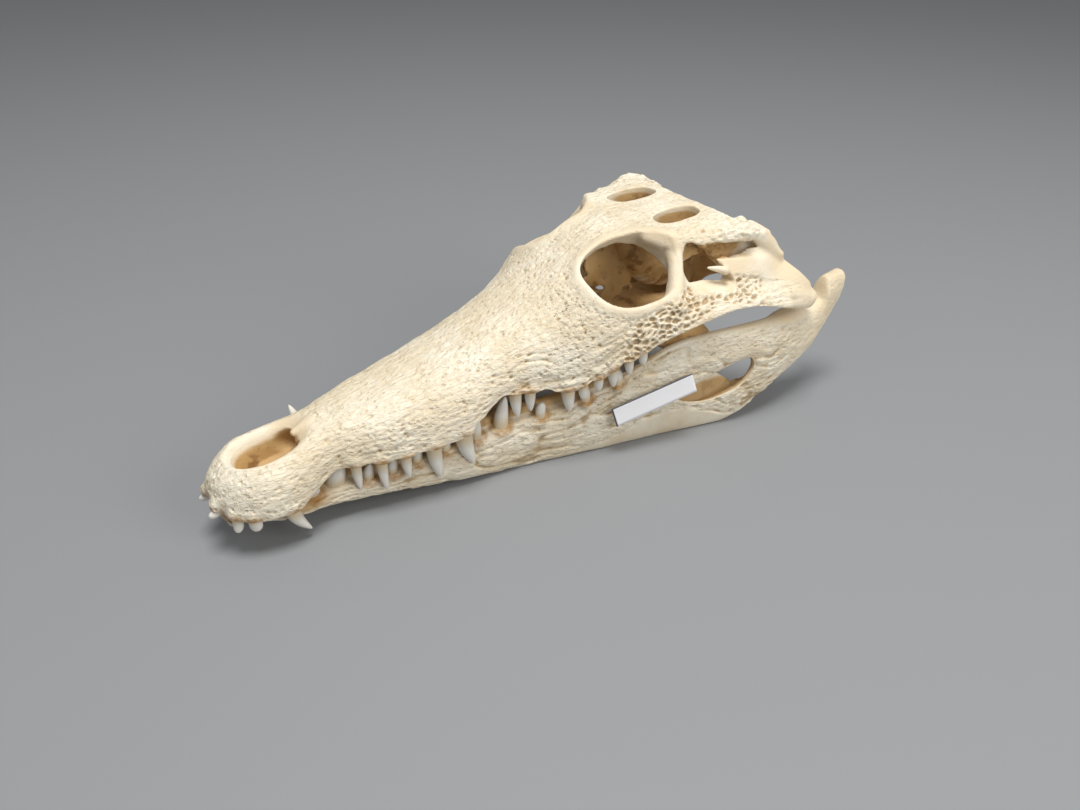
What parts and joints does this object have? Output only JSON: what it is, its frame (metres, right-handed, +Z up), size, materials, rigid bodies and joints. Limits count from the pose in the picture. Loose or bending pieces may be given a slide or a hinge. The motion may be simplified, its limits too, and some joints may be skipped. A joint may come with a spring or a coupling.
{
  "type": "crocodile skull",
  "caption": "Bleached skull of a young adult crocodile with its toothed lower jaw closed, resting on the jaw, with a small paper tag glued on one side.",
  "frame": {"origin": "on the surface that the skull rests on, under the middle of its bounding box", "axes": "+X towards the back of the head, -X towards the tip of the snout, +Y towards the skull's right side, +Z up"},
  "size_m": [0.2632, 0.099, 0.0852],
  "materials": {
    "bone": "dry bleached bone, warm ivory, pitted and grooved",
    "paper": "matt white paper with a thin dark rule at its top and front edges"
  },
  "bodies": {
    "root": {"cranium": "bone", "right_lower_jaw": "bone", "left_lower_jaw": "bone", "paper_tag": "paper"}
  },
  "joints": []
}
